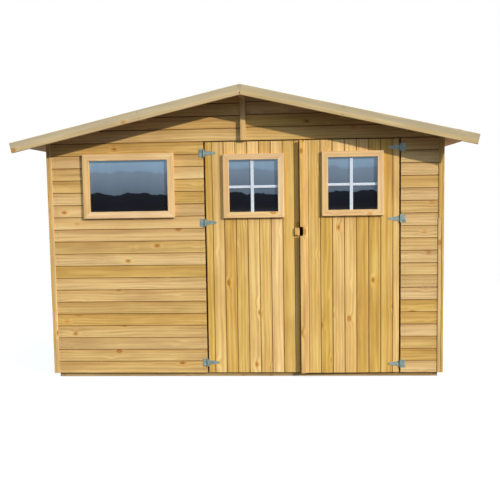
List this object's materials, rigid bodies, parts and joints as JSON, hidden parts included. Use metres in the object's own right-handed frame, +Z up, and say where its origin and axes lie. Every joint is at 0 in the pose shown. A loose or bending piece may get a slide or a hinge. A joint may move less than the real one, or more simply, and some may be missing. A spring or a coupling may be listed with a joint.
{
  "type": "wooden garden shed",
  "caption": "Wooden garden shed with a low felted gable roof, horizontal board walls on framing, a fixed front window, glazed doors on T-hinges and a boarded floor on bearers.",
  "frame": {"origin": "on the ground at the middle of the roof's plan, which is the middle of the floor", "axes": "+X to the right along the front wall as seen from outside, -Y out of the front wall with the doors, +Z up"},
  "size_m": [3.384, 2.848, 2.1801],
  "materials": {
    "cladding_pine": "pressure-treated pine boards, planed, unpainted",
    "door_pine": "pressure-treated pine boards, planed, unpainted",
    "casing_pine": "planed pale pine",
    "batten_pine": "planed pine battens",
    "bargeboard_pine": "planed treated pine",
    "framing_pine": "planed framing timber",
    "roof_board_pine": "planed boards",
    "floor_pine": "planed boards",
    "bearer_pine": "sawn treated timber",
    "roofing_felt": "mineral bitumen felt, matte",
    "white_bars": "white, satin",
    "zinc_steel": "zinc-plated steel, dull",
    "window_glass": "clear glazing with a dark room behind"
  },
  "bodies": {
    "shed": {"bearers": "bearer_pine", "end_bearers": "bearer_pine", "floor_deck": "floor_pine", "front_panel_left": "cladding_pine", "front_panel_right": "cladding_pine", "front_gable_left": "cladding_pine", "front_gable_right": "cladding_pine", "back_panel": "cladding_pine", "back_gable": "cladding_pine", "left_side_panel": "cladding_pine", "right_side_panel": "cladding_pine", "wall_studs": "framing_pine", "end_wall_rails": "framing_pine", "side_wall_rails": "framing_pine", "door_posts": "framing_pine", "gable_plates": "framing_pine", "gable_rafters": "framing_pine", "ridge_beam": "framing_pine", "purlins": "framing_pine", "roof_deck_left": "roof_board_pine", "roof_deck_right": "roof_board_pine", "roof_felt_left": "roofing_felt", "roof_felt_right": "roofing_felt", "ridge_cap": "roofing_felt", "front_bargeboard_left": "bargeboard_pine", "front_bargeboard_right": "bargeboard_pine", "back_bargeboard_left": "bargeboard_pine", "back_bargeboard_right": "bargeboard_pine", "end_corner_battens": "batten_pine", "side_corner_battens": "batten_pine", "king_battens": "batten_pine", "window_casing": "casing_pine", "window_glass": "window_glass", "hinge_plates": "zinc_steel"},
    "left_door": {"left_door_boards": "door_pine", "left_door_stiles": "framing_pine", "left_door_rails": "framing_pine", "left_door_casing": "casing_pine", "left_door_glass": "window_glass", "left_door_glazing_bars": "white_bars", "left_door_straps": "zinc_steel", "left_door_keep": "casing_pine"},
    "right_door": {"right_door_boards": "door_pine", "right_door_stiles": "framing_pine", "right_door_rails": "framing_pine", "right_door_casing": "casing_pine", "right_door_glass": "window_glass", "right_door_glazing_bars": "white_bars", "right_door_straps": "zinc_steel", "right_door_cover_strips": "batten_pine"}
  },
  "joints": [
    {"name": "left_door_hinge", "type": "hinge", "parent": "shed", "child": "left_door", "pos_m": [-0.29, -1.231, 0.9], "axis": [0, 0, -1], "range_deg": [0, 165]},
    {"name": "right_door_hinge", "type": "hinge", "parent": "shed", "child": "right_door", "pos_m": [1.17, -1.231, 0.9], "axis": [0, 0, 1], "range_deg": [-1.5, 120]}
  ]
}
